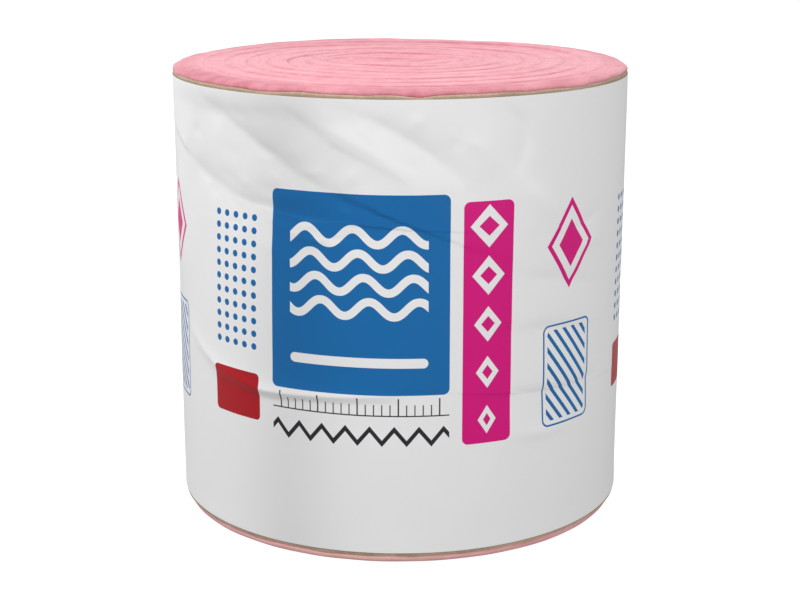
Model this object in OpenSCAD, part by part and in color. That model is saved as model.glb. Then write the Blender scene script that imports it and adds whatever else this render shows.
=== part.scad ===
// Roll of kraft-faced glass-wool insulation, standing on its end.
// One long blanket is compressed and wound on itself with no core, the facing outwards.
// A film sleeve, lapped and sealed behind, holds the roll closed. The wool and the edge of
// the facing stand out of the sleeve at both ends.
// The roll's axis is Z, the floor is z = 0 and the front of the sleeve looks along -Y.

/* [Blanket] */
// Diameter of the wound wool
wool_d = 591; // [300:1:800]
// Width of the blanket, which is the height of the roll on its end
blanket_width = 584; // [380:1:1220]
// Thickness of one turn of the wound and compressed blanket
wound_thickness = 29.5; // [24:0.5:40]

/* [Wound ends] */
// Depth of the creases between the turns at the top end
top_crease_depth = 6; // [3:0.5:7]
// Depth of the creases at the floor end, where the roll's weight closes them
floor_crease_depth = 4; // [2:0.5:5]
// Radius that rounds a turn down into the creases beside it
crease_edge_r = 8; // [7.5:0.5:9]
// Radius of the outer turn's soft shoulder at the top end
top_shoulder_r = 11; // [8:0.5:12]
// Radius of the outer turn's edge at the floor end
floor_shoulder_r = 6; // [4:0.5:8]

/* [Facing] */
// Thickness of the kraft facing on the outer turn
kraft_t = 0.8; // [0.6:0.1:2]
// How far the edge of the facing stands out of the sleeve at each end
kraft_reveal = 4; // [2:0.5:6]

/* [Sleeve] */
// Thickness of the film
film_t = 0.8; // [0.6:0.1:2]
// How far the wool stands out of the sleeve at each end
wool_reveal = 13; // [8:0.5:20]
// Width of the lap where the two edges of the film are sealed
lap_width = 60; // [30:1:120]
// Direction of the middle of the lap, with 90 straight behind
lap_direction = 90; // [60:1:120]

/* [Fit] */
// Clearance between one layer of the roll and the next
layer_gap = 0.3; // [0.2:0.05:0.6]

/* [Hidden] */
$fn = 128;

wool_colour = [0.98, 0.66, 0.71];
kraft_colour = [0.71, 0.59, 0.43];
film_colour = [0.90, 0.90, 0.91];

// How far a cutter reaches past the face that it cuts
overcut = 1;

wool_r = wool_d / 2;
kraft_r = wool_r + layer_gap;
film_r = kraft_r + kraft_t + layer_gap;

// Whole turns outside the eye of the roll, which is half to one and a half turns in radius
turn_count = floor(wool_r / wound_thickness - 0.5);

// Half the width at which two rounded turns meet at a crease of this depth
function crease_half_width(depth) = sqrt(2 * crease_edge_r * depth - depth * depth);

// Section of one crease, open upwards, with its mouth on the X axis
module crease(depth) {
    half = crease_half_width(depth);
    difference() {
        translate([-half, -depth - overcut]) square([2 * half, depth + 2 * overcut]);
        for (side = [-1, 1])
            translate([side * half, -crease_edge_r]) circle(crease_edge_r);
    }
}

// The creases of one end, at the radii where the turns meet
module end_creases(depth) {
    for (turn = [1:turn_count])
        translate([wool_r - turn * wound_thickness, 0]) crease(depth);
}

// Section that rounds off an outer corner at the origin, whose faces run along -X and -Y
module corner_round(r) {
    difference() {
        translate([-r, -r]) square(r + overcut);
        translate([-r, -r]) circle(r);
    }
}

// Half section of the wound wool, from the axis to the outside of the outer turn
module wound_section() {
    difference() {
        square([wool_r, blanket_width]);
        translate([0, blanket_width]) end_creases(top_crease_depth);
        mirror([0, 1]) end_creases(floor_crease_depth);
        translate([wool_r, blanket_width]) corner_round(top_shoulder_r);
        translate([wool_r, 0]) mirror([0, 1]) corner_round(floor_shoulder_r);
    }
}

// Plan of a layer round the roll
module ring(inner_r, wall) {
    difference() {
        circle(inner_r + wall);
        circle(inner_r);
    }
}

// Plan of a wedge from the axis, which reaches out past the sleeve
module wedge(direction, sweep) {
    reach = 2 * film_r;
    polygon([
        [0, 0],
        reach * [cos(direction - sweep / 2), sin(direction - sweep / 2)],
        reach * [cos(direction + sweep / 2), sin(direction + sweep / 2)],
    ]);
}

// Raises a plan into a layer that ends this far from each end of the wool
module raise(inset) {
    translate([0, 0, inset]) linear_extrude(blanket_width - 2 * inset) children();
}

// The blanket, wound into one solid whose turns show on both ends
module glass_wool_roll() {
    color(wool_colour) rotate_extrude() wound_section();
}

// The facing of the outer turn
module kraft_facing() {
    color(kraft_colour) raise(wool_reveal - kraft_reveal) ring(kraft_r, kraft_t);
}

// The film, doubled along the lap where its outer edge is sealed over its inner one
module film_sleeve() {
    lap_r = film_r + film_t;
    lap_sweep = lap_width / lap_r * 180 / PI;
    seal = film_t / 2;
    color(film_colour) raise(wool_reveal) {
        ring(film_r, film_t);
        intersection() {
            ring(lap_r - seal, film_t + seal);
            wedge(lap_direction, lap_sweep);
        }
    }
}

glass_wool_roll();
kraft_facing();
film_sleeve();
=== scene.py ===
"""Looks of a roll of kraft-faced glass wool that stands on its end in a printed film sleeve.

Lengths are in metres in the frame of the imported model: +Z is up, the floor is z = 0 and the
front of the sleeve looks along -Y. An angle round the roll is counted from +X towards +Y.
Folds and print are placed in mm, by the arc from the front towards the right and the height.
"""
import math

import bpy
import numpy as np
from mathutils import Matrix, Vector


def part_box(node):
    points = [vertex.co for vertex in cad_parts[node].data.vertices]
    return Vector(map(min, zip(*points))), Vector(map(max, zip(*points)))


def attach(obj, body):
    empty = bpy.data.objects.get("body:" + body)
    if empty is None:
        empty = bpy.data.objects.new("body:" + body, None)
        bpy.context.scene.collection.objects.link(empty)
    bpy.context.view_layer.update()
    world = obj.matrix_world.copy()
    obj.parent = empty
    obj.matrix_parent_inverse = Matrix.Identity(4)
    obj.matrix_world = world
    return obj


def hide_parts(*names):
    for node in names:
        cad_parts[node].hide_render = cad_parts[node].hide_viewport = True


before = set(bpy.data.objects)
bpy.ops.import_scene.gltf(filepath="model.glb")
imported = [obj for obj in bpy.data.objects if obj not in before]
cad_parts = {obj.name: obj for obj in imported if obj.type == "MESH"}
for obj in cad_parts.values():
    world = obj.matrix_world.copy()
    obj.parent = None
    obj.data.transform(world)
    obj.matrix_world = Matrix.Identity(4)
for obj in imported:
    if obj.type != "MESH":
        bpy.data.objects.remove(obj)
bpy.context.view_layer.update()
MM = 0.001

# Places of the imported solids
WOOL_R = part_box("glass_wool_roll")[1].x
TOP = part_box("glass_wool_roll")[1].z
KRAFT_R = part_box("kraft_facing")[1].x
KRAFT_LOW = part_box("kraft_facing")[0].z
KRAFT_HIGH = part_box("kraft_facing")[1].z
FILM_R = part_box("film_sleeve")[1].x
FILM_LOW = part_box("film_sleeve")[0].z
FILM_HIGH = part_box("film_sleeve")[1].z
FRONT = -math.pi / 2
BACK = math.pi / 2
# The way round the film, in mm
GIRTH = math.tau * FILM_R / MM

# Spokes and rows of the meshes
SPOKES = 300
TOP_ROWS = 205
SHOULDER_ROWS = 12
FOOT_ROWS = 8
FLOOR_ROWS = 50
FILM_SPOKES = 440
FILM_ROW = 4 * MM
RIM_ROW = 0.3 * MM
# Heights between which the film has fine rows, and how far apart these are, in mm
FINE_BANDS = [(194, 226), (395, 442)]
FINE_ROW = 1.4
# Rows of the film's lining: distances from its two edges, and where even rows start and their spacing
RIM_STEPS = np.array([0, 1, 4, 12, 24]) * MM
LINING_START = 36 * MM
LINING_ROW = 24 * MM


# Numbers and meshes

def ripple(seed, most_waves, shortest, count=28):
    """A smooth random field over an angle and a length, of unit spread, with whole waves round the roll."""
    draw = np.random.default_rng(seed)
    waves = draw.integers(0, most_waves + 1, count)
    slopes = draw.uniform(-1, 1, count) * math.tau / shortest
    shifts = draw.uniform(0, math.tau, count)

    def field(angle, length=0.0):
        total = 0
        for wave, slope, shift in zip(waves, slopes, shifts):
            total = total + np.cos(wave * angle + slope * length + shift)
        return total * math.sqrt(2 / count)

    return field


def step_up(value, low, high):
    """A smooth step from 0 at low to 1 at high."""
    share = np.clip((value - low) / (high - low), 0, 1)
    return share * share * (3 - 2 * share)


def hump(value, centre, spread):
    """A smooth bell of height 1 over a centre."""
    return np.exp(-((value - centre) / spread) ** 2)


def turned_from(direction, angle):
    """The angle from a direction, up to half a turn either way."""
    return np.angle(np.exp(1j * (angle - direction)))


def around(angle, radius, height):
    """Points at these angles round the axis, at a distance from it and a height."""
    return np.stack(np.broadcast_arrays(radius * np.cos(angle), radius * np.sin(angle), height), axis=-1)


def rows_to_faces(rows, spokes, closed):
    """Faces between rows of points round the roll; closed joins the last row to the first."""
    index = np.arange(rows * spokes).reshape(rows, spokes)
    near = index if closed else index[:-1]
    far = np.roll(index, -1, axis=0) if closed else index[1:]
    quads = np.stack([near, far, np.roll(far, -1, axis=1), np.roll(near, -1, axis=1)], axis=-1)
    return quads.reshape(-1, 4).tolist()


def cap_faces(ring, facing_up):
    """Faces across a flat ring whose points lie in pairs on both sides of the X axis."""
    count = len(ring)
    half = count // 2
    faces = [(ring[0], ring[1], ring[-1])]
    faces += [(ring[i], ring[i + 1], ring[count - i - 1], ring[count - i]) for i in range(1, half - 1)]
    faces += [(ring[half - 1], ring[half], ring[half + 1])]
    return faces if facing_up else [face[::-1] for face in faces]


def make_piece(name, points, faces, material, node):
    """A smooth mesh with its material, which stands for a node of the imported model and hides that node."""
    mesh = bpy.data.meshes.new(name)
    mesh.from_pydata(points.reshape(-1, 3).tolist(), [], faces)
    mesh.shade_smooth()
    mesh.materials.append(material)
    piece = bpy.data.objects.new(name, mesh)
    bpy.context.scene.collection.objects.link(piece)
    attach(piece, "root")
    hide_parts(node)
    return piece


def set_attribute(piece, name, values):
    """Keeps one number for each point of a piece, for its material to read."""
    layer = piece.data.attributes.new(name, "FLOAT", "POINT")
    layer.data.foreach_set("value", np.asarray(values, np.float32).ravel())


# Nodes of the materials

class Field:
    """A value in a material's nodes, with the usual arithmetic."""

    def __init__(self, tree, socket):
        self.tree = tree
        self.socket = socket

    def math(self, operation, *others, clamp=False):
        node = self.tree.nodes.new("ShaderNodeMath")
        node.operation = operation
        node.use_clamp = clamp
        for slot, value in zip(node.inputs, (self, *others)):
            put(self.tree, value, slot)
        return Field(self.tree, node.outputs[0])

    def __add__(self, other):
        return self.math("ADD", other)

    def __sub__(self, other):
        return self.math("SUBTRACT", other)

    def __mul__(self, other):
        return self.math("MULTIPLY", other)

    def least(self, other):
        return self.math("MINIMUM", other)

    def most(self, other):
        return self.math("MAXIMUM", other)

    def size(self):
        return self.math("ABSOLUTE")

    def wrapped(self, period):
        return self.math("WRAP", period / 2, -period / 2)


def put(tree, value, slot):
    """Links a field to an input, or sets the input to a plain value."""
    if isinstance(value, Field):
        tree.links.new(value.socket, slot)
    else:
        slot.default_value = value


def new_material(name):
    """A material with its node tree, its shader and its place on the object."""
    material = bpy.data.materials.new(name)
    material.use_nodes = True
    tree = material.node_tree
    shader = tree.nodes["Principled BSDF"]
    place = tree.nodes.new("ShaderNodeTexCoord").outputs["Object"]
    return material, tree, shader, place


def attribute(tree, name):
    """A number kept at the points of the piece."""
    node = tree.nodes.new("ShaderNodeAttribute")
    node.attribute_name = name
    return Field(tree, node.outputs["Fac"])


def noise(tree, vector, scale, detail=3.0, roughness=0.55):
    """A noise field over a vector socket."""
    node = tree.nodes.new("ShaderNodeTexNoise")
    node.inputs["Scale"].default_value = scale
    node.inputs["Detail"].default_value = detail
    node.inputs["Roughness"].default_value = roughness
    tree.links.new(vector, node.inputs["Vector"])
    return Field(tree, node.outputs["Fac"])


def mixed(tree, share, low, high):
    """A colour between two colours, each a triple or a field."""
    node = tree.nodes.new("ShaderNodeMix")
    node.data_type = "RGBA"
    put(tree, share, node.inputs["Factor"])
    for value, slot in ((low, node.inputs["A"]), (high, node.inputs["B"])):
        put(tree, value if isinstance(value, Field) else (*value, 1.0), slot)
    return Field(tree, node.outputs["Result"])


def ramp(share, low, high):
    """A field that runs from 0 to 1 as share goes from low to high."""
    scale = 1 / (high - low)
    return share.math("MULTIPLY_ADD", scale, -low * scale, clamp=True)


def joined(tree, x, y, z):
    """A vector socket from three fields or numbers."""
    node = tree.nodes.new("ShaderNodeCombineXYZ")
    for value, slot in zip((x, y, z), node.inputs):
        put(tree, value, slot)
    return node.outputs[0]


def parted(tree, place):
    """The three fields of a vector socket."""
    node = tree.nodes.new("ShaderNodeSeparateXYZ")
    tree.links.new(place, node.inputs[0])
    return [Field(tree, output) for output in node.outputs]


def bump(tree, shader, height, strength, distance):
    """Fine relief on a shader from a height field."""
    node = tree.nodes.new("ShaderNodeBump")
    node.inputs["Strength"].default_value = strength
    node.inputs["Distance"].default_value = distance
    tree.links.new(height.socket, node.inputs["Height"])
    tree.links.new(node.outputs[0], shader.inputs["Normal"])


# Wool

# The winding: thickness of a turn, where the blanket's outer end lies, how far the turns wander
TURN = 29.5 * MM
TAIL_ANGLE = math.radians(-41)
WANDER = 0.07
# The eye: radius of the flat middle, and how far the turns near it are pressed together along Y
EYE_R = 27 * MM
EYE_FLATTENING = 26 * MM
EYE_FADE = 1.2
# Creases between the turns, which close up at the left and the right and set in near the rim
CREASE_DEPTH = 4.5 * MM
# How far the painted shade of a crease reaches
CREASE_TINT_REACH = 3.6 * MM
TURN_EDGE_R = 5.5 * MM
SIDE_CLOSING = 0.72
CREASE_START = (6 * MM, 20 * MM)
# Fine splits between the plies of a turn: share across the turn, and seed
PLIES = [(0.3, 5), (0.64, 12)]
PLY_WANDER = 0.06
PLY_DEPTH = 1.7 * MM
PLY_HALF_WIDTH = 2.4 * MM
# How much painted shade a split between plies gets
PLY_TINT = 0.6
PLY_START = (22 * MM, 45 * MM)
# Outer turns that have settled or stand up: place and spread along the winding, in turns, and rise
UNEVEN_TURNS = [(0.14, 0.25, -1.5 * MM), (0.64, 0.22, 0.8 * MM), (1.64, 0.2, -1.2 * MM)]
WAVE_HEIGHT = 0.35 * MM
LUMP_HEIGHT = 0.4 * MM
TUFT_HEIGHT = 0.1 * MM
# Painted shade on the rim: patches as degrees from the front, spread in degrees and strength
RIM_PATCHES = [(-15, 5, -0.5), (43, 7, 0.45)]
# Two steps up of the rim's painted shade towards the rim: distances from the rim where each starts and ends,
# and its strength
RIM_STRIPES = [(36 * MM, 30 * MM, 0.45), (30 * MM, 15 * MM, 0.5)]
# A band of painted shade over the back of the end: distance from the rim, spread and strength
FAR_BAND = (52 * MM, 16 * MM, 0.75)
# The soft shoulder at the top, the foot and the side that the facing hides
TOP_SINK = 0.8 * MM
SHOULDER_R = 17 * MM
FULLNESS = 0.9
SAG = 0.3 * MM
# How far the shoulder bulges: its mean, what its lumps add, and its limits, in mm
BULGE = 0.9
BULGE_LUMPS = 0.25
BULGE_LIMITS = (-0.2, 1.9)
FOOT_R = 5 * MM
FOOT_SWELL = 2.2 * MM
FOOT_TUCK = 5 * MM
FOOT_LUMPS = 0.3 * MM
FLOOR_GAP = 0.25 * MM
EDGE_CLEARANCE = 0.6 * MM
SIDE_TUCK = 0.8 * MM
TUCK_START = 1.4 * MM
WAIST_START = 34 * MM
WAIST_GAP = 1 * MM
# How far the hidden layers draw in, so that the creases of the film have room
LAYER_WAIST = 12 * MM
# The floor end: shares of the top end's crease depth and relief, and how far in the dust reaches
FLOOR_CREASE_SHARE = 0.7
FLOOR_RELIEF_SHARE = 0.8
DUST_REACH = 60 * MM

WOOL_SHADE = (0.66, 0.248, 0.3)
WOOL_LIGHT = (0.86, 0.415, 0.465)
# The deeper pink of the painted shade
SHADE_PINK = (0.52, 0.15, 0.192)
STRAW_DUST = (0.6, 0.48, 0.32)
# How fine the fibre noise is: per radian along the winding, and per metre across it
FIBRES_ALONG = 14.0
FIBRES_ACROSS = 330.0


def wool_material():
    """Pink glass wool: fibres along the winding, soft blotches, dust at the foot, and painted shade as a
    deeper pink in creases, on the rim and next to the floor.
    """
    material, tree, shader, place = new_material("pink_glass_wool")
    x, y, z = parted(tree, place)
    radius = (x * x + y * y).math("SQRT").most(1 * MM)
    round_x = x.math("DIVIDE", radius) * FIBRES_ALONG
    round_y = y.math("DIVIDE", radius) * FIBRES_ALONG
    across = (attribute(tree, "across") + z) * FIBRES_ACROSS
    fibres = noise(tree, joined(tree, round_x, round_y, across), 1.0, detail=4.0, roughness=0.65)
    blotches = noise(tree, place, 28.0, detail=3.0)
    fluff = noise(tree, place, 420.0, detail=2.0)
    patches = ramp(noise(tree, place, 52.0, detail=4.0, roughness=0.6), 0.42, 0.6)
    tone = fibres * 0.55 + blotches * 0.3 + fluff * 0.15
    light = mixed(tree, ramp(tone, 0.36, 0.62), WOOL_SHADE, WOOL_LIGHT)
    # Painted shade: the wool turns a deeper pink in its creases, on its rim and next to the floor, broken up
    # by patches
    pink = mixed(tree, attribute(tree, "crease") * (patches * 0.3 + 0.61), light, SHADE_PINK)
    colour = mixed(tree, attribute(tree, "dust") * 0.4, pink, STRAW_DUST)
    tree.links.new(colour.socket, shader.inputs["Base Color"])
    shader.inputs["Roughness"].default_value = 0.95
    shader.inputs["Specular IOR Level"].default_value = 0.15
    shader.inputs["Sheen Weight"].default_value = 0.25
    shader.inputs["Sheen Roughness"].default_value = 0.6
    shader.inputs["Sheen Tint"].default_value = (1.0, 0.82, 0.85, 1.0)
    bump(tree, shader, fibres * 0.7 + fluff * 0.3, 0.5, 1.5 * MM)
    return material


def wound(angle, level):
    """Where a point of the end lies in the winding: its length in turns, and its share across the turn."""
    turned = np.mod(TAIL_ANGLE - angle, math.tau) / math.tau
    wander = WANDER * ripple(3, 5, 0.25)(angle, level)
    inward = (WOOL_R - level) / TURN - turned + wander
    return np.floor(inward) + turned, inward - np.floor(inward)


def crease_fall(reach, depth):
    """How far the round edge of a turn falls, at a distance from a crease of this depth."""
    half = np.sqrt(2 * TURN_EDGE_R * depth - depth ** 2)
    inside = np.clip(half - reach, 0, None)
    return TURN_EDGE_R - np.sqrt(TURN_EDGE_R ** 2 - inside ** 2)


def turn_height(angle, level, length, inner):
    """How far the turns stand over the plane of the end, apart from the creases."""
    waves = np.sin(length * 9.1) + np.sin(length * 4.3 + 1.0) + np.sin(length * 15.7 + 2.0)
    lumps = ripple(6, 5, 0.15)(angle, level)
    tufts = ripple(7, 40, 0.012, 60)(angle, level)
    height = WAVE_HEIGHT * waves + LUMP_HEIGHT * lumps + TUFT_HEIGHT * inner * tufts
    for place, spread, rise in UNEVEN_TURNS:
        height = height + rise * hump(length, place, spread)
    return height


def rim_shade(angle):
    """How much painted shade the rim gets: most in front and at the left, in patches at the right."""
    away = np.degrees(turned_from(FRONT, angle))
    hidden = np.clip(0.45 + 0.2 * ripple(13, 7, 1.0)(angle), 0.15, 0.8)
    shown = 1.0 - 0.7 * step_up(away, 18, 34) + 0.1 * ripple(11, 30, 1.0)(angle)
    for middle, spread, strength in RIM_PATCHES:
        shown = shown + strength * hump(away, middle, spread)
    in_front = step_up(away, -85, -60) * (1 - step_up(away, 75, 90))
    return 0.1 + 0.9 * np.clip(hidden + in_front * (shown - hidden), 0, 1.05)


def rim_tint(angle, level):
    """The painted shade of the end towards its rim, and in a band over its back."""
    inward = WOOL_R - level
    # The painted shade steps up towards the rim
    rim_step_shade = 0
    for start, end, strength in RIM_STRIPES:
        rim_step_shade = rim_step_shade + strength * step_up(-inward, -start, -end)
    middle, spread, strength = FAR_BAND
    behind = np.clip(np.sin(angle), 0, 1) ** 2
    return np.maximum(rim_shade(angle) * rim_step_shade, strength * hump(inward, middle, spread) * behind)


def end_relief(angle, level, depth):
    """Height of the wound end over its plane, and how much painted shade it gets, with creases of this depth.
    """
    length, share = wound(angle, level)
    reach = TURN * np.minimum(share, 1 - share)
    open_share = 1 - SIDE_CLOSING * np.cos(angle) ** 4
    strength = open_share * np.clip(0.85 + 0.2 * ripple(4, 7, 0.09)(angle, level), 0.55, 1)
    set_in = step_up(WOOL_R - level, *CREASE_START)
    inner = step_up(WOOL_R - level, *PLY_START)
    fall = crease_fall(reach, depth * strength * set_in)
    # Painted shade in a crease, fading away from it
    crease_shade = strength * np.exp(-0.5 * (reach / CREASE_TINT_REACH) ** 2)
    for ply, seed in PLIES:
        middle = ply + PLY_WANDER * np.sin(length * 5.0 + seed)
        split = open_share * np.clip(0.45 + 0.4 * ripple(seed, 6, 0.08)(angle, level), 0, 1)
        fine = split * hump(TURN * (share - middle), 0, PLY_HALF_WIDTH)
        fall = fall + PLY_DEPTH * inner * fine
        crease_shade = np.maximum(crease_shade, PLY_TINT * fine)
    height = turn_height(angle, level, length, inner) - fall
    return height, np.maximum(set_in * crease_shade, rim_tint(angle, level))


class Skin:
    """Rows of points from the top end's eye to the floor end's, with what their material reads."""

    def __init__(self):
        self.angle = np.linspace(0, math.tau, SPOKES, endpoint=False)[None, :]
        self.points = []
        self.values = {"crease": [], "across": [], "dust": []}

    def add(self, level, height, crease=0.0, dust=0.0):
        """Adds rows at distances from the axis: round at the rim, and flattened along Y towards the eye."""
        ones = np.ones(np.broadcast_shapes(np.shape(level), self.angle.shape))
        flat = EYE_FLATTENING * np.clip(1 - level / WOOL_R, 0, 1) ** EYE_FADE
        x = (level + flat) * np.cos(self.angle)
        y = (level - flat) * np.sin(self.angle)
        self.points.append(np.stack([x * ones, y * ones, height * ones], axis=-1))
        for name, value in (("crease", crease), ("across", level), ("dust", dust)):
            self.values[name].append(value * ones)


def foot_dust(angle):
    """How much straw-coloured dust the foot has: most in front."""
    return 0.5 + 0.5 * hump(np.degrees(turned_from(FRONT, angle)), -5, 26)


def add_top_end(skin):
    """The top end, from the eye to the shoulder."""
    level = np.linspace(EYE_R, WOOL_R - SHOULDER_R, TOP_ROWS)[:, None]
    relief, crease = end_relief(skin.angle, level, CREASE_DEPTH)
    skin.add(level, TOP - TOP_SINK + relief, crease)


def add_shoulder(skin):
    """The lumpy shoulder of the outer turn, down to the edge of the facing."""
    angle = skin.angle
    rise = np.linspace(math.pi / 2, 0, SHOULDER_ROWS + 1)[1:, None]
    base = kraft_edge(angle) + EDGE_CLEARANCE
    lump = ripple(8, 24, 0.5)(angle, rise / 10) + 0.35 * ripple(9, 45, 0.3)(angle, rise / 10)
    bulge = np.clip(BULGE + BULGE_LUMPS * lump, *BULGE_LIMITS) * MM
    level = WOOL_R - SHOULDER_R + (SHOULDER_R + bulge) * np.cos(rise) ** FULLNESS
    relief, crease = end_relief(angle, np.minimum(level, WOOL_R), CREASE_DEPTH)
    drop = TOP - TOP_SINK + relief - base
    height = base + drop * np.sin(rise) ** FULLNESS + SAG * lump * np.sin(2 * rise)
    # Painted shade over the shoulder, lighter at its lowest rows
    shade = rim_shade(angle) * (1 - 0.5 * step_up(np.cos(rise), 0.9, 1))
    skin.add(level, height, np.maximum(crease, shade))


def add_hidden_side(skin):
    """The side behind the facing."""
    base = kraft_edge(skin.angle) + EDGE_CLEARANCE
    foot = kraft_foot(skin.angle) - EDGE_CLEARANCE
    tuck = WOOL_R - SIDE_TUCK
    waist = tuck - LAYER_WAIST - WAIST_GAP
    skin.add(tuck, base - TUCK_START)
    skin.add(waist, base - WAIST_START)
    skin.add(waist, foot + WAIST_START)
    skin.add(tuck, foot + TUCK_START)


def add_foot(skin):
    """The foot below the facing, which swells in front and behind and has painted shade next to the floor."""
    angle = skin.angle
    fall = np.linspace(0, math.pi / 2, FOOT_ROWS + 1)[:-1, None]
    foot = kraft_foot(angle) - EDGE_CLEARANCE
    lump = ripple(10, 30, 0.5)(angle, fall / 10)
    swell = FOOT_SWELL * np.sin(2 * fall) * (1 - np.cos(angle) ** 4) + FOOT_LUMPS * lump
    tuck = FOOT_TUCK * np.sin(fall) * np.cos(angle) ** 6
    level = WOOL_R - FOOT_R + FOOT_R * np.cos(fall) + swell - tuck
    # Painted shade next to the floor
    shade = 0.9 * step_up(np.sin(fall), 0.6, 1)
    skin.add(level, foot * (1 - np.sin(fall)) + FLOOR_GAP, shade, foot_dust(angle))


def add_floor_end(skin):
    """The floor end, whose turns stand on the floor and whose creases are closed by the weight."""
    level = np.linspace(WOOL_R - FOOT_R, EYE_R, FLOOR_ROWS)[:, None]
    relief, crease = end_relief(skin.angle, level, FLOOR_CREASE_SHARE * CREASE_DEPTH)
    height = np.maximum(FLOOR_GAP - FLOOR_RELIEF_SHARE * relief, FLOOR_GAP)
    dust = foot_dust(skin.angle) * step_up(level, WOOL_R - DUST_REACH, WOOL_R - FOOT_R)
    skin.add(level, height, crease, dust)


def make_wool():
    """The wound wool as one closed skin."""
    skin = Skin()
    add_top_end(skin)
    add_shoulder(skin)
    add_hidden_side(skin)
    add_foot(skin)
    add_floor_end(skin)
    points = np.concatenate(skin.points)
    rows = len(points)
    faces = rows_to_faces(rows, SPOKES, closed=False)
    ring = np.arange(SPOKES)
    faces += cap_faces(ring.tolist(), facing_up=True)
    faces += cap_faces((ring + (rows - 1) * SPOKES).tolist(), facing_up=False)
    wool = make_piece("wool_roll", points, faces, wool_material(), "glass_wool_roll")
    for name, values in skin.values.items():
        set_attribute(wool, name, np.concatenate(values))


# Facing

KRAFT_T = 0.7 * MM
KRAFT_LIFT = 0.8 * MM
KRAFT_NICK = 0.2 * MM
# Distances from an edge where the paper gets part of the painted shade of the film's edge, where it gets all
# of it and the film covers it, and where its waist starts
KRAFT_SHADED = 3 * MM
KRAFT_HIDDEN = 7 * MM
KRAFT_WAIST_START = 40 * MM
# Where the wool hangs over the facing: degrees from the front, spread in degrees and dip in mm
KRAFT_DIPS = [
    (4.6, 3.2, 2.4),
    (-33, 5, 1.2),
    (48, 6, 1.4),
    (118, 9, 2.2),
    (205, 8, 2.4),
    (262, 6, 1.5),
]
KRAFT_SHADE = (0.45, 0.31, 0.21)
KRAFT_LIGHT = (0.69, 0.51, 0.375)
# The painted shade next to the film's edge
KRAFT_EDGE_SHADE = (0.31, 0.24, 0.165)


def kraft_material():
    """Brown kraft paper with faint fibres, and painted shade next to the film's edge and under the film."""
    material, tree, shader, place = new_material("brown_kraft_paper")
    fibres = noise(tree, place, 260.0, detail=5.0, roughness=0.7)
    stains = noise(tree, place, 24.0)
    paper = mixed(tree, ramp(fibres * 0.6 + stains * 0.4, 0.38, 0.62), KRAFT_SHADE, KRAFT_LIGHT)
    # Painted shade next to the film's edge and under the film
    colour = mixed(tree, attribute(tree, "film_edge_shade"), paper, KRAFT_EDGE_SHADE)
    tree.links.new(colour.socket, shader.inputs["Base Color"])
    shader.inputs["Roughness"].default_value = 0.85
    shader.inputs["Specular IOR Level"].default_value = 0.3
    bump(tree, shader, fibres, 0.3, 0.4 * MM)
    return material


def kraft_edge(angle):
    """Height of the top edge of the facing, which dips where the wool hangs over it."""
    edge = KRAFT_HIGH + KRAFT_LIFT + 0.35 * MM * ripple(21, 40, 1.0)(angle)
    for degrees, spread, dip in KRAFT_DIPS:
        away = np.degrees(turned_from(FRONT + math.radians(degrees), angle))
        edge = edge - dip * MM * hump(away, 0, spread)
    return edge


def kraft_foot(angle):
    """Height of the bottom edge of the facing."""
    return KRAFT_LOW + 0.3 * MM * ripple(22, 40, 1.0)(angle)


def kraft_rows(edge_r, edge, inward):
    """Section of one edge of the facing, from inside to outside; inward is 1 for up and -1 for down.

    Each row is a distance from the axis, a height and how much painted shade of the film's edge the paper
    gets there.
    """
    inside_r = edge_r - KRAFT_T
    waist_r = KRAFT_R - LAYER_WAIST
    return [
        (waist_r - KRAFT_T, edge + inward * KRAFT_WAIST_START, 1),
        (inside_r, edge + inward * KRAFT_HIDDEN, 1),
        (inside_r, edge + inward * KRAFT_NICK, 0),
        (inside_r + KRAFT_NICK, edge, 0),
        (edge_r - KRAFT_NICK, edge, 0),
        (edge_r, edge + inward * KRAFT_NICK, 0),
        (edge_r, edge + inward * KRAFT_SHADED, 0.6),
        (edge_r, edge + inward * KRAFT_HIDDEN, 1),
        (waist_r, edge + inward * KRAFT_WAIST_START, 1),
    ]


def make_kraft():
    """The facing of the outer turn, whose two edges show beyond the film."""
    angle = np.linspace(0, math.tau, FILM_SPOKES, endpoint=False)
    top = kraft_rows(KRAFT_R + film_rise(angle, FILM_HIGH), kraft_edge(angle), -1)
    foot = kraft_rows(KRAFT_R + film_rise(angle, FILM_LOW), kraft_foot(angle), 1)
    section = top + foot[::-1]
    points = np.stack([around(angle, r, z) for r, z, film_edge_shade in section])
    faces = rows_to_faces(len(section), FILM_SPOKES, closed=True)
    kraft = make_piece("kraft_wrap", points, faces, kraft_material(), "kraft_facing")
    set_attribute(kraft, "film_edge_shade", np.repeat([film_edge_shade for r, z, film_edge_shade in section], FILM_SPOKES))


# Folds of the film

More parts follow.
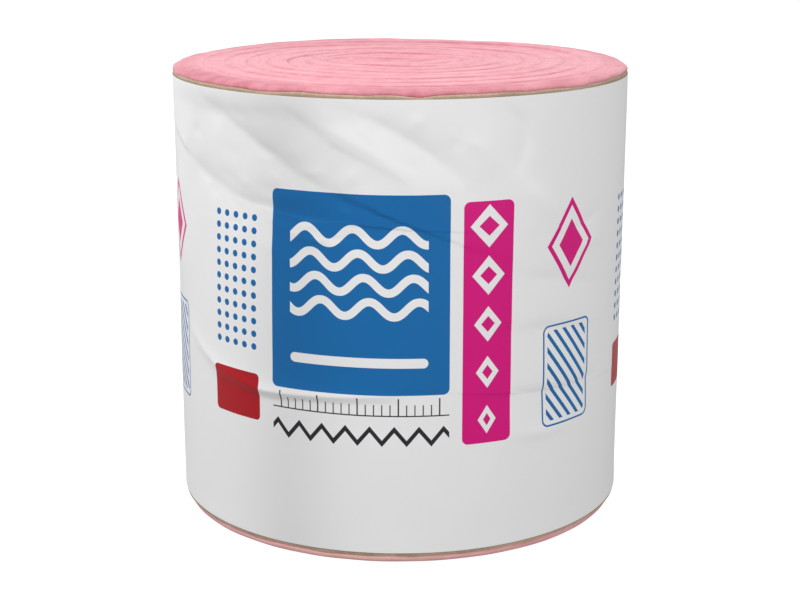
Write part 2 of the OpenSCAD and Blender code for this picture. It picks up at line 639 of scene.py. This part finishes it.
# Creases and ridges that the pull of the film leaves in front: points as arc from the front and
# height, then how far the film stands out there, then its reach above and below the line, all in mm
FOLDS = [
    ([(-290, 568), (-240, 541), (-200, 519), (-165, 498), (-130, 480), (-100, 468), (-55, 452)],
     -7.5, 27, 85),
    ([(-112, 548), (-90, 536), (-60, 523), (-30, 507), (-5, 488), (15, 466), (25, 440)], 3.2, 24, 18),
    ([(-142, 562), (-131, 548), (-118, 537), (-100, 528), (-78, 520)], -2.8, 13, 50),
    ([(-85, 571), (-60, 560), (-30, 545), (0, 530), (25, 515), (50, 495), (68, 468)], -4.2, 12, 42),
    ([(-345, 488), (-290, 467), (-230, 445), (-195, 437), (-120, 427), (-90, 425), (-40, 428)],
     -5.2, 22, 70),
    ([(-195, 434), (-150, 430), (-120, 425), (-95, 423), (-50, 425)], 1.0, 3, 8),
    ([(-178, 424), (-150, 414), (-130, 406), (-110, 400), (-65, 397)], 1.2, 14, 7),
    ([(-190, 395), (-150, 380), (-110, 366)], 1.0, 18, 12),
    ([(-345, 258), (-300, 236), (-260, 221), (-220, 212), (-180, 207), (-100, 210), (10, 216)],
     3.4, 10, 7),
    ([(-250, 206), (-200, 197), (-160, 197), (-120, 201), (-70, 203), (0, 206)], -1.4, 6, 10),
    ([(112, 571), (135, 556), (150, 540), (156, 520), (150, 497), (138, 474)], -2.2, 9, 16),
    ([(72, 525), (100, 512), (108, 497), (104, 480)], 1.2, 12, 10),
    ([(150, 470), (175, 450), (195, 426), (204, 405)], 3.0, 10, 26),
    ([(235, 400), (262, 407), (300, 418)], -1.6, 10, 6),
    ([(235, 380), (265, 377), (305, 382)], 1.6, 10, 6),
    ([(150, 352), (210, 345), (250, 335), (295, 318)], -2.2, 9, 40),
    ([(145, 288), (190, 284), (225, 280), (285, 268)], -2.6, 8, 50),
    ([(140, 212), (165, 205), (200, 201), (245, 199), (300, 206)], -3.4, 5, 45),
    ([(140, 158), (165, 151), (200, 148), (240, 152)], 1.8, 18, 6),
]
# One pull of the hidden film: where each of its creases and ridges starts, its share of the pull's
# run, how far the film stands out there, and its reach above and below the line, in mm
PULL = [(0, 0, 1.0, -8.0, 15, 60), (50, 32, 0.7, 4.2, 22, 9), (70, 50, 0.6, -4.4, 9, 30)]
HIDDEN_PULLS = 8
# The pulls of the hidden film: arc of the first, arc over which they start, and heights, in mm
HIDDEN_START = 480
HIDDEN_SPREAD = GIRTH - 1200
UPPER_LEVELS = (470, 560)
LOWER_LEVELS = (150, 400)
HIGHEST_START = 560
# What is drawn for each pull: its shift in shares of the spacing, its run in mm, its slope and strength
PULL_SHIFT = (0, 0.7)
PULL_RUN = (150, 230)
PULL_SLOPE = (0.25, 0.5)
PULL_STRENGTH = (0.65, 1)
# Roundness of a fold's line in mm, and how many reaches and mm from it the fold is left out
FOLD_TIP = 1.5
FOLD_REACHES = 6
FOLD_MARGIN = 20
# Crumples: how many to a stretch of a fold, and the rise in mm from which a fold has them
CRUMPLES = 3
DEEP_FOLD = 3.5
# What is drawn for each crumple: spread of its offset in mm and of its lean, half length, rise and reach
CRUMPLE_OFFSET = 20
CRUMPLE_LEAN = 0.35
CRUMPLE_HALF = (8, 26)
CRUMPLE_RISE = (0.4, 1.0)
CRUMPLE_REACH = (4, 10)


def fold_height(arc, height, points, rise, above, below):
    """A crease or a ridge along a line, with its own reach on each side, that fades at its ends."""
    total = np.zeros(np.shape(arc))
    levels = [z for u, z in points]
    lowest = min(levels) - FOLD_REACHES * below - FOLD_MARGIN
    highest = max(levels) + FOLD_REACHES * above + FOLD_MARGIN
    if not lowest < height < highest:
        return total
    lengths = [math.dist(a, b) for a, b in zip(points, points[1:])]
    done = 0
    for (u0, z0), (u1, z1), length in zip(points, points[1:], lengths):
        du = (u1 - u0) / length
        dz = (z1 - z0) / length
        over = np.remainder(arc - u0 + GIRTH / 2, GIRTH) - GIRTH / 2
        up = height - z0
        along = np.clip(over * du + up * dz, 0, length)
        away = np.hypot(over - along * du, up - along * dz)
        away = np.hypot(away, FOLD_TIP) - FOLD_TIP
        upper = up * du - over * dz > 0
        share = (done + along) / sum(lengths)
        fade = np.sin(math.pi * np.clip(share, 0, 1)) ** 0.7
        total = np.maximum(total, fade * np.exp(-away / np.where(upper, above, below)))
        done += length
    return rise * total


def hidden_folds():
    """Folds like those in front for the sides and the back, low and high by turns, from a fixed seed."""
    draw = np.random.default_rng(33)
    folds = []
    for number in range(HIDDEN_PULLS):
        start = HIDDEN_START + HIDDEN_SPREAD * (number + draw.uniform(*PULL_SHIFT)) / HIDDEN_PULLS
        level = draw.uniform(*(UPPER_LEVELS if number % 2 else LOWER_LEVELS))
        run = draw.uniform(*PULL_RUN)
        fall = draw.uniform(*PULL_SLOPE) * run * draw.choice([-1, 1])
        share = draw.uniform(*PULL_STRENGTH)
        first = min(level, HIGHEST_START + min(fall, 0))
        for over, up, length, rise, above, below in PULL:
            points = []
            for step in np.linspace(0, 1, 6):
                fallen = fall * (step + 0.12 * math.sin(math.pi * step))
                points.append((start + over + length * run * step, first + up - length * fallen))
            folds.append((points, share * rise, above, below))
    return folds


def crumples(folds):
    """Short creases that lie loosely along the deeper folds, from a fixed seed."""
    draw = np.random.default_rng(44)
    short = []
    for points, rise, above, below in folds:
        if abs(rise) < DEEP_FOLD:
            continue
        for a, b in zip(points, points[1:]):
            for number in range(CRUMPLES):
                share = draw.uniform(0, 1)
                offset = draw.normal(0, CRUMPLE_OFFSET)
                lean = math.atan2(b[1] - a[1], b[0] - a[0]) + draw.normal(0, CRUMPLE_LEAN)
                half = draw.uniform(*CRUMPLE_HALF)
                u = a[0] + share * (b[0] - a[0]) - offset * math.sin(lean)
                z = a[1] + share * (b[1] - a[1]) + offset * math.cos(lean)
                ends = [(u - half * math.cos(lean), z - half * math.sin(lean))]
                ends += [(u + half * math.cos(lean), z + half * math.sin(lean))]
                height = draw.choice([-1, 1]) * draw.uniform(*CRUMPLE_RISE)
                short.append((ends, height, draw.uniform(*CRUMPLE_REACH), draw.uniform(*CRUMPLE_REACH)))
    return short


LARGE_FOLDS = FOLDS + hidden_folds()
ALL_FOLDS = LARGE_FOLDS + crumples(LARGE_FOLDS)


# Film

FILM_T = 0.5 * MM
FILM_SINK = 0.2 * MM
# The lap at the back and the puckers along its sealed edge; how far they stand out is in mm
LAP_WIDTH = 60 * MM
LAP_RISE = 0.9
PUCKER_RISE = 0.45
PUCKER_REACH = 16 * MM
# The two edges of the film hold its folds flat: the share left there, and how far in this reaches
EDGE_SHARE = 0.25
EDGE_REACH = 30 * MM


def lap_rise(angle, z):
    """How far the lap stands out at the back, with small puckers along its sealed edge, in mm."""
    away = turned_from(BACK, angle) * FILM_R
    half = LAP_WIDTH / 2
    edge = np.where(away > -half, 1, 0)
    lap = LAP_RISE * edge * (1 - step_up(away, half - 5 * MM, half + 4 * MM))
    puckers = np.clip(1 + ripple(34, 4, 0.011)(angle, z), 0, 3)
    return lap + PUCKER_RISE * hump(away, -half, PUCKER_REACH) * puckers


def film_rise(angle, z):
    """How far the film stands out from its cylinder, in metres."""
    arc = turned_from(FRONT, angle) * FILM_R / MM
    total = 0.2 * ripple(31, 9, 0.25)(angle, z) + 0.08 * ripple(32, 24, 0.1)(angle, z)
    for fold in ALL_FOLDS:
        total = total + fold_height(arc, z / MM, *fold)
    inside = step_up(np.minimum(FILM_HIGH - z, z - FILM_LOW), 0, EDGE_REACH)
    total = total * (EDGE_SHARE + (1 - EDGE_SHARE) * inside)
    return (total + lap_rise(angle, z)) * MM


def film_angles():
    """Angles of the film's spokes, with a close pair at each edge of the lap."""
    edge = LAP_WIDTH / 2 / FILM_R
    step = 0.15 * MM / FILM_R
    pairs = [BACK + side * edge + shift for side in (-1, 1) for shift in (-step, step)]
    return np.sort(np.concatenate([np.linspace(-math.pi, math.pi, FILM_SPOKES, endpoint=False), pairs]))


def film_heights():
    """Heights of the film's rows, closer where the finest folds run and next to the two edges."""
    fine = [np.arange(low, high, FINE_ROW) * MM for low, high in FINE_BANDS]
    rims = [FILM_LOW, FILM_LOW + RIM_ROW, FILM_HIGH - RIM_ROW, FILM_HIGH]
    coarse = np.arange(FILM_LOW + 2 * MM, FILM_HIGH - 2 * MM, FILM_ROW)
    for low, high in FINE_BANDS:
        coarse = coarse[(coarse < low * MM - 1 * MM) | (coarse > high * MM)]
    return np.sort(np.concatenate([coarse, rims, *fine]))[::-1]


def lining_heights():
    """Heights of the rows of the film's inside."""
    middle = np.arange(FILM_LOW + LINING_START, FILM_HIGH - LINING_START, LINING_ROW)
    return np.concatenate([FILM_LOW + RIM_STEPS, middle, FILM_HIGH - RIM_STEPS[::-1]])


def make_film():
    """The sleeve as a closed thin shell with folds and lap, whose inside keeps behind every crease."""
    angle = film_angles()
    heights = film_heights()
    relief = np.stack([film_rise(angle, z) for z in heights])
    rows = list(zip(heights, relief))
    lining = lining_heights()
    for before, z, after in zip([FILM_LOW, *lining], lining, [*lining[1:], FILM_HIGH]):
        near = (heights > before - 0.1 * MM) & (heights < after + 0.1 * MM)
        rows.append((z, relief[near].min(axis=0) - FILM_T))
    points = np.stack([around(angle, FILM_R - FILM_SINK + rise, z) for z, rise in rows])
    faces = rows_to_faces(len(points), len(angle), closed=True)
    film = make_piece("film_wrap", points, faces, film_material(), "film_sleeve")


# Print, which repeats round the sleeve, with places and lengths in mm

BLUE = (0.006, 0.142, 0.402)
MAGENTA = (0.68, 0.002, 0.205)
RED = (0.42, 0.006, 0.014)
DARK = (0.02, 0.02, 0.025)
FILM_WHITE = (0.86, 0.86, 0.865)
BLACK = (0.0, 0.0, 0.0)
INK_EDGE = 0.5
REPEATS = 3
PANEL = (-52, 338)
COLUMN = (108, 300)
HATCHED = (232, 220)
FRAMED = (232, 385)
DOTTED = (-225, 340)
PLAIN = (-225, 196)
DOT_SPACING = 16
# Upright bands of painted shade on the film: arc, share of the light lost
SHADE_BANDS = [(-143, 0.13), (640, 0.1), (905, 0.08), (-655, 0.1)]
SHADE_BAND_REACH = 62


def inked(distance):
    """1 inside a shape and 0 outside, from the distance to its edge."""
    return distance.math("MULTIPLY_ADD", -1 / INK_EDGE, 0.5, clamp=True)


def nearest(shapes):
    """Distance to the nearest of several shapes."""
    closest = shapes[0]
    for shape in shapes[1:]:
        closest = closest.least(shape)
    return closest


def block(u, z, centre, half, corner):
    """Distance to a rectangle with round corners."""
    x = (u - centre[0]).size() - (half[0] - corner)
    y = (z - centre[1]).size() - (half[1] - corner)
    out_x = x.most(0.0)
    out_y = y.most(0.0)
    outside = (out_x * out_x + out_y * out_y).math("SQRT")
    return outside + x.most(y).least(0.0) - corner


def diamond(u, z, centre, half):
    """Distance to a diamond."""
    scale = half[0] * half[1] / math.hypot(*half)
    x = (u - centre[0]).size() * (scale / half[0])
    y = (z - centre[1]).size() * (scale / half[1])
    return x + y - scale


def wave(u, z, centre, height, length, stroke, shift):
    """Distance to a wavy line of even stroke."""
    turn = (u - centre[0]) * (math.tau / length) + shift
    offset = z - centre[1] - turn.math("SINE") * height
    slope = turn.math("COSINE") * (height * math.tau / length)
    return offset.size().math("DIVIDE", (slope * slope + 1.0).math("SQRT")) - stroke / 2


def zigzag_line(u, z, centre, height, length, stroke):
    """Distance to a zigzag line of even stroke."""
    steep = 4 * height / length
    offset = z - centre[1] + height - (u - centre[0]).wrapped(length).size() * steep
    return offset.size() * (1 / math.hypot(1, steep)) - stroke / 2


def panel_lines(u, z):
    """Waves and a bar, left white on the blue panel."""
    middle = PANEL[0]
    waves = nearest([wave(u, z, (middle, 322 + 29 * row), 9, 60, 10, 0.7 * row) for row in range(4)])
    waves = waves.most(block(u, z, (middle, 366), (86, 70), 12))
    return waves.least(block(u, z, (middle, 256), (86, 6), 6))


def gems(u, z):
    """Open diamonds, left white on the column, that grow upwards."""
    shapes = []
    for row in range(5):
        centre = (COLUMN[0], 180 + 60 * row)
        hole = diamond(u, z, centre, (5 + 2 * row, 8 + row))
        shapes.append(diamond(u, z, centre, (12 + 3 * row, 18 + 2 * row)).most(hole * -1.0))
    return nearest(shapes)


def ruler(u, z):
    """A line with short and long ticks below the panel, and a zigzag below that."""
    middle = PANEL[0]
    line = block(u, z, (middle, 190), (112, 0.8), 0.5)
    ticks = (u - middle).wrapped(10).size() - 0.7
    ticks = ticks.most(block(u, z, (middle, 197), (106, 7), 0.5))
    long_ticks = (u - middle).wrapped(50).size() - 0.9
    long_ticks = long_ticks.most(block(u, z, (middle, 201), (106, 11), 0.5))
    zigzag = zigzag_line(u, z, (middle, 164), 9, 30, 5)
    zigzag = zigzag.most(block(u, z, (middle, 164), (112, 16), 1))
    return nearest([line, ticks, long_ticks, zigzag])


def hatching(u, z):
    """Slanted stripes in an outlined block."""
    stripes = (u + z * 0.8).wrapped(16).size() - 3.2
    stripes = stripes.most(block(u, z, HATCHED, (36, 58), 6))
    return stripes.least(block(u, z, HATCHED, (42, 64), 9).size() - 1.2)


def framed_diamond(u, z):
    """A diamond in an outline."""
    outline = diamond(u, z, FRAMED, (38, 52)).size() - 3
    return outline.least(diamond(u, z, FRAMED, (22, 30)))


def dots(u, z):
    """A block of dots."""
    x = (u - DOTTED[0]).wrapped(DOT_SPACING)
    y = (z - DOTTED[1]).wrapped(DOT_SPACING)
    each = (x * x + y * y).math("SQRT") - 4.2
    return each.most(block(u, z, DOTTED, (40, 88), 2))


def printed(tree, arc, z):
    """The colour of the printed film at an arc and a height."""
    u = arc.wrapped(GIRTH / REPEATS)
    layers = [
        (nearest([block(u, z, PANEL, (112, 122), 8), hatching(u, z), dots(u, z)]), BLUE),
        (nearest([block(u, z, COLUMN, (32, 150), 8), framed_diamond(u, z)]), MAGENTA),
        (block(u, z, PLAIN, (40, 30), 6), RED),
        (ruler(u, z), DARK),
        (nearest([panel_lines(u, z), gems(u, z)]), FILM_WHITE),
    ]
    colour = FILM_WHITE
    for shape, ink in layers:
        colour = mixed(tree, inked(shape), colour, ink)
    return colour


def band_shade(arc):
    """The share of the light that painted shade takes off the film in upright bands."""
    bands = []
    for middle, share in SHADE_BANDS:
        away = (arc - middle).wrapped(GIRTH) * (1 / SHADE_BAND_REACH)
        bands.append((away * away * -1.0).math("EXPONENT") * share)
    return sum(bands[1:], start=bands[0])


def film_material():
    """Satin white film with its print, and upright bands of painted shade."""
    material, tree, shader, place = new_material("printed_white_film")
    x, y, z = parted(tree, place)
    arc = x.math("ARCTAN2", y * -1.0) * (FILM_R / MM)
    # Painted shade: the film darkened towards black in upright bands
    colour = mixed(tree, band_shade(arc), printed(tree, arc, z * (1 / MM)), BLACK)
    tree.links.new(colour.socket, shader.inputs["Base Color"])
    haze = noise(tree, place, 18.0)
    gloss = ramp(haze, 0.2, 0.8) * 0.16 + 0.3
    tree.links.new(gloss.socket, shader.inputs["Roughness"])
    shader.inputs["Specular IOR Level"].default_value = 0.28
    crinkle = noise(tree, place, 70.0, detail=4.0)
    bump(tree, shader, crinkle, 0.1, 1.0 * MM)
    return material


# Floor, light and camera

FLOOR_REACH = 40
WORLD_STRENGTH = 0.455
# The camera: distance from the axis and height over the film's top edge in film radii, and tilt in degrees
CAMERA_AWAY = 7.328
CAMERA_OVER = 0.863
CAMERA_TILT = 14.668
SENSOR_WIDTH = 36
LENS = 74.35


def make_floor():
    """A plain pale floor, which sends no light back on the roll."""
    material, tree, shader, place = new_material("pale_floor")
    shader.inputs["Base Color"].default_value = (0.3, 0.3, 0.3, 1.0)
    shader.inputs["Roughness"].default_value = 0.9
    shader.inputs["Emission Color"].default_value = (1.0, 1.0, 1.0, 1.0)
    shader.inputs["Emission Strength"].default_value = 0.9
    corners = [(x * FLOOR_REACH, y * FLOOR_REACH, 0) for x, y in ((-1, -1), (1, -1), (1, 1), (-1, 1))]
    mesh = bpy.data.meshes.new("floor")
    mesh.from_pydata(corners, [], [(0, 1, 2, 3)])
    mesh.materials.append(material)
    floor = bpy.data.objects.new("floor", mesh)
    bpy.context.scene.collection.objects.link(floor)
    floor.visible_diffuse = False
    floor.visible_glossy = False


def make_light():
    """Even white surroundings, a large soft box at the upper left, and weaker light from right and behind."""
    world = bpy.data.worlds.new("studio")
    world.use_nodes = True
    background = world.node_tree.nodes["Background"]
    background.inputs["Color"].default_value = (1.0, 1.0, 1.0, 1.0)
    background.inputs["Strength"].default_value = WORLD_STRENGTH
    bpy.context.scene.world = world
    soft_box = add_lamp("soft_box", "AREA", 73, place=(-1.45, -1.45, 3.0), tilt=39, heading=-45)
    soft_box.size = 1.8
    side_box = add_lamp("side_box", "AREA", 17, place=(1.55, -1.72, 1.15), tilt=69, heading=42)
    side_box.size = 1.6
    back_sun = add_lamp("back_sun", "SUN", 1.25, place=(0, 0, 2), tilt=55, heading=-142)
    back_sun.angle = math.radians(90)


def add_lamp(name, kind, energy, place, tilt, heading):
    """A lamp with its tilt from straight down and its heading, in degrees; gives its data."""
    data = bpy.data.lights.new(name, kind)
    data.energy = energy
    lamp = bpy.data.objects.new(name, data)
    lamp.location = place
    lamp.rotation_euler = (math.radians(tilt), 0, math.radians(heading))
    bpy.context.scene.collection.objects.link(lamp)
    return data


def make_camera():
    """The camera of the photograph, fitted to the two ends of the sleeve."""
    data = bpy.data.cameras.new("camera")
    data.sensor_width = SENSOR_WIDTH
    data.lens = LENS
    camera = bpy.data.objects.new("camera", data)
    camera.location = (0, -CAMERA_AWAY * FILM_R, FILM_HIGH + CAMERA_OVER * FILM_R)
    camera.rotation_euler = (math.radians(90 - CAMERA_TILT), 0, 0)
    bpy.context.scene.collection.objects.link(camera)
    bpy.context.scene.camera = camera


make_camera()
make_light()
make_floor()
make_wool()
make_kraft()
make_film()
bpy.context.scene.view_settings.view_transform = "Standard"
